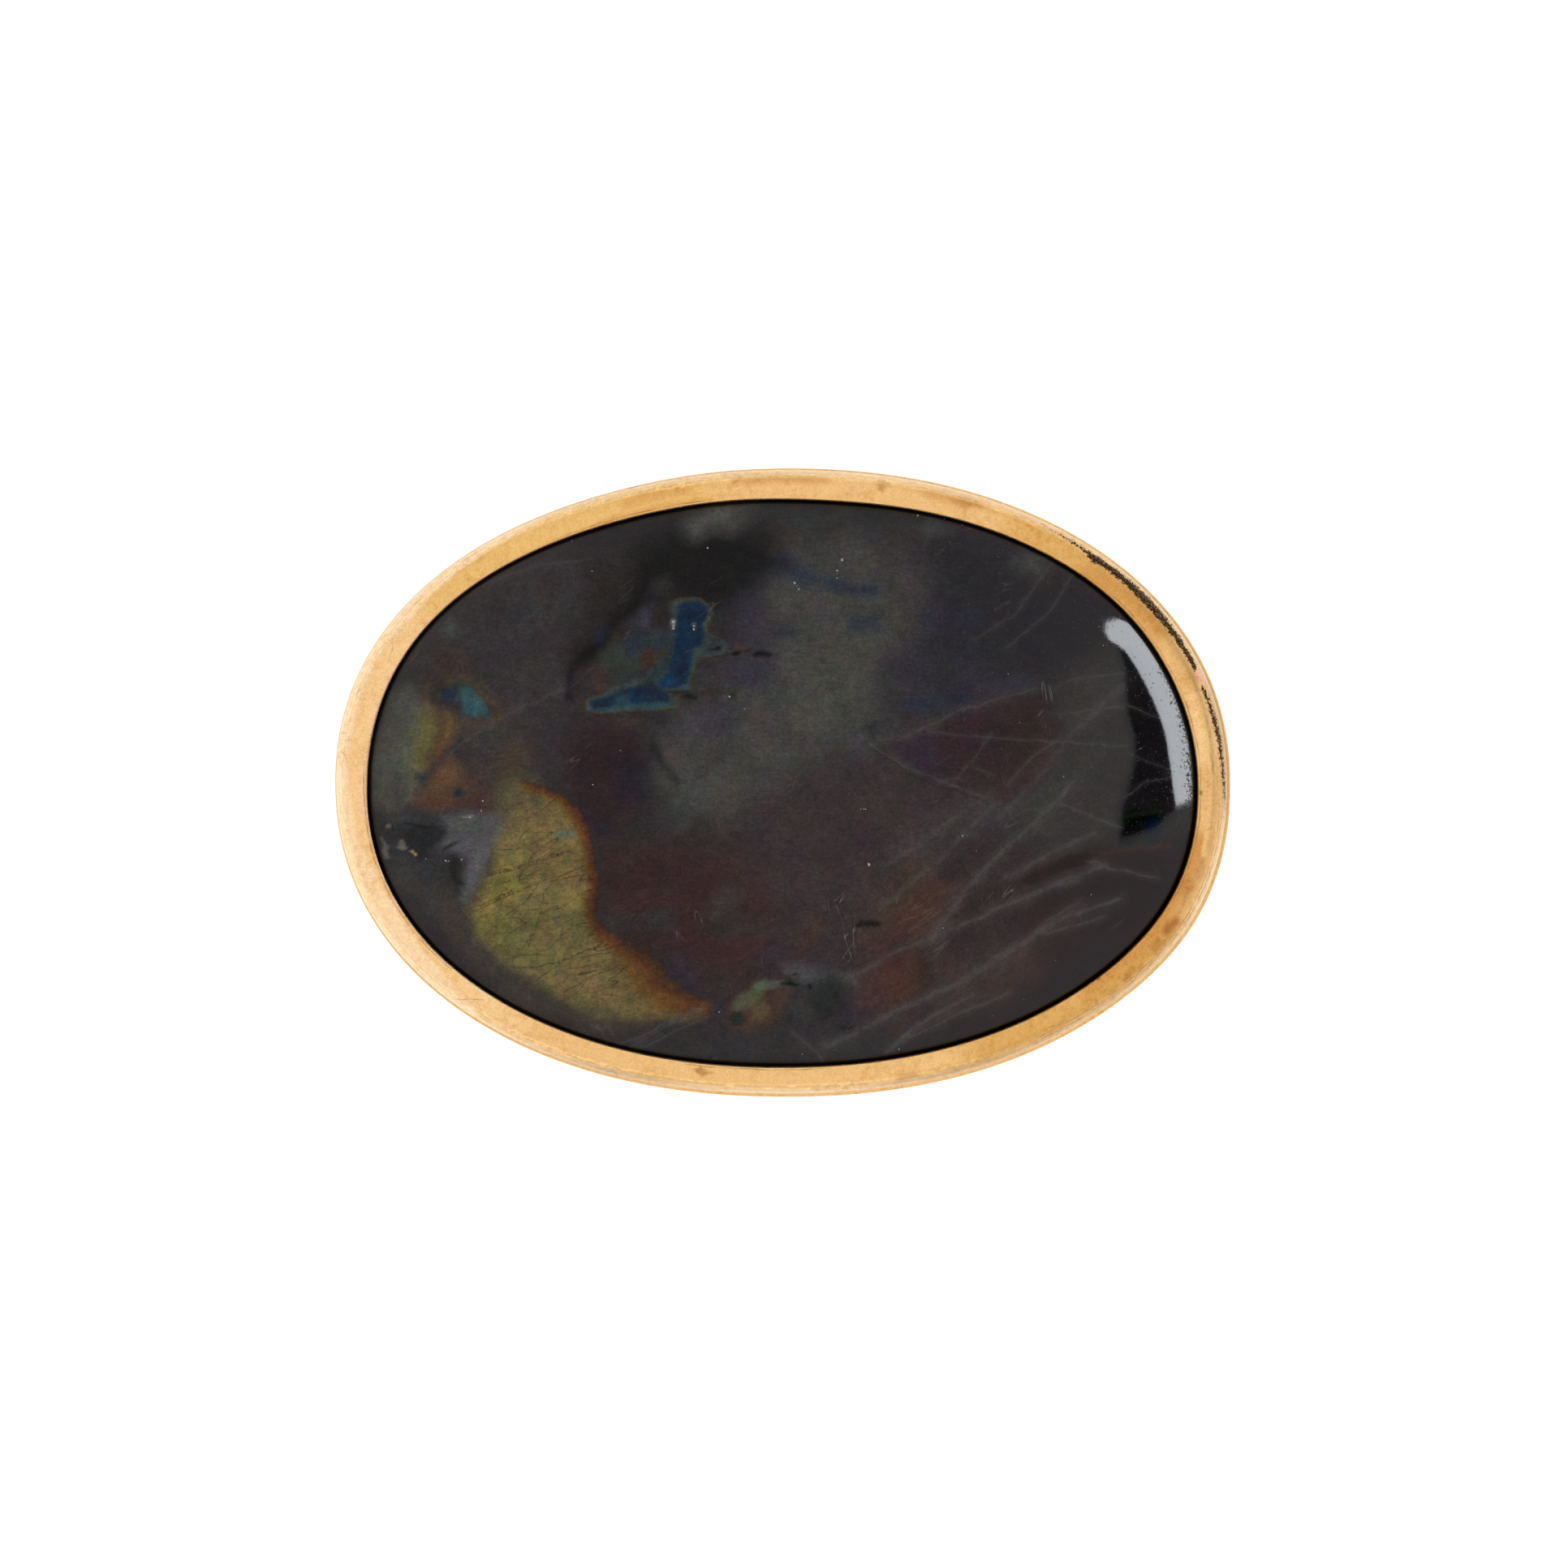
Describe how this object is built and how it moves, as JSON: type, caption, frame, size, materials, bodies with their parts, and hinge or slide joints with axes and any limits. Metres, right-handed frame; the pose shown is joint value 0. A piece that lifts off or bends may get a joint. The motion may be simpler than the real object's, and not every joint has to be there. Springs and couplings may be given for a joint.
{
  "type": "brooch",
  "caption": "Oval gold brooch: a low-domed dark labradorite cabochon in a plain broad bezel with a rounded shoulder, with a pin in the recess behind.",
  "frame": {"origin": "middle of the foot, on the plane that the brooch rests on", "axes": "+Z out of the front of the stone, +X along the long axis towards the pin's tip, +Y up as the brooch is worn"},
  "size_m": [0.0499, 0.0353, 0.0086],
  "materials": {
    "gold": "worn satin yellow gold, with brown tarnish, fine pits and scratches",
    "labradorite": "polished, near black, with patches of blue, teal, olive gold and red brown flash",
    "pin_gold": "plain satin gold"
  },
  "bodies": {
    "root": {"setting": "gold", "cabochon": "labradorite", "pin_back": "pin_gold"}
  },
  "joints": []
}
